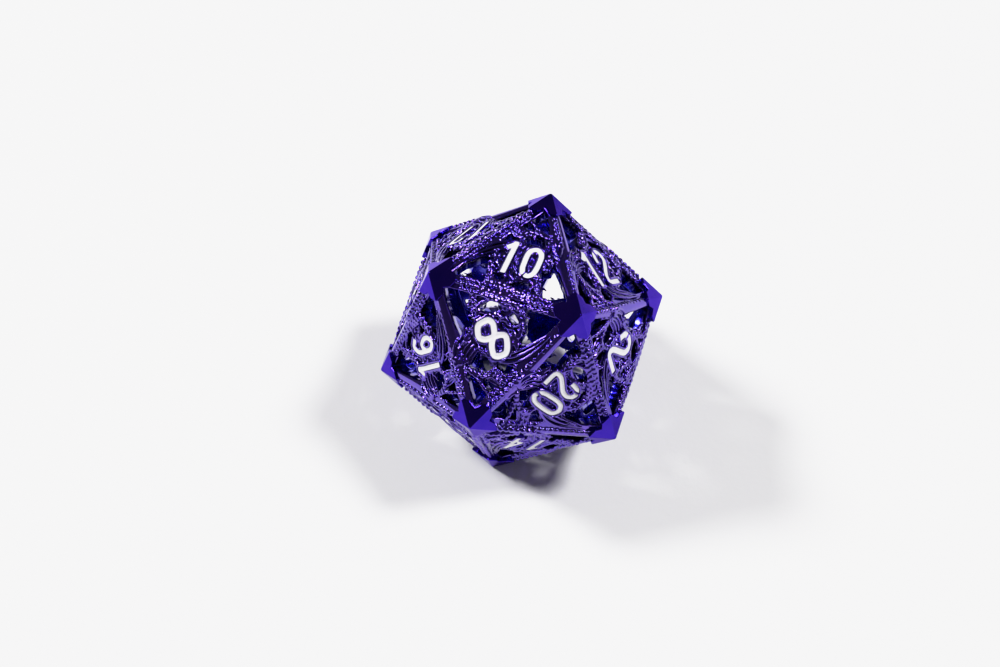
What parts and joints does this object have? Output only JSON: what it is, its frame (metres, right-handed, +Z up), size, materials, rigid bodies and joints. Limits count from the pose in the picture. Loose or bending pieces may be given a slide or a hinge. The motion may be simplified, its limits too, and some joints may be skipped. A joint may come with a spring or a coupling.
{
  "type": "polyhedral die",
  "caption": "Hollow openwork metal die with triangular faces, smooth corner tips, edge bars, a pierced web and white enamel numerals.",
  "frame": {"origin": "middle of the bottom face, number 11, on the surface that the die rests on", "axes": "+Z up, square to the top face, number 10. +X runs through the middle corner shared by faces 12, 15, 5, 18 and 2. The 8 faces -Y and -X."},
  "size_m": [0.0262, 0.0226, 0.0212],
  "materials": {
    "plated_metal": "violet mirror plating over cast zinc alloy",
    "enamel": "glossy white enamel"
  },
  "bodies": {
    "root": {"enamel_1": "enamel", "enamel_10_tens": "enamel", "enamel_10_units": "enamel", "enamel_11_tens": "enamel", "enamel_11_units": "enamel", "enamel_12_tens": "enamel", "enamel_12_units": "enamel", "enamel_13_tens": "enamel", "enamel_13_units": "enamel", "enamel_14_tens": "enamel", "enamel_14_units": "enamel", "enamel_15_tens": "enamel", "enamel_15_units": "enamel", "enamel_16_tens": "enamel", "enamel_16_units": "enamel", "enamel_17_tens": "enamel", "enamel_17_units": "enamel", "enamel_18_tens": "enamel", "enamel_18_units": "enamel", "enamel_19_tens": "enamel", "enamel_19_units": "enamel", "enamel_2": "enamel", "enamel_20_tens": "enamel", "enamel_20_units": "enamel", "enamel_3": "enamel", "enamel_4": "enamel", "enamel_5": "enamel", "enamel_6": "enamel", "enamel_6_mark": "enamel", "enamel_7": "enamel", "enamel_8": "enamel", "enamel_9": "enamel", "enamel_9_mark": "enamel", "lower_shell": "plated_metal", "upper_shell": "plated_metal"}
  },
  "joints": []
}
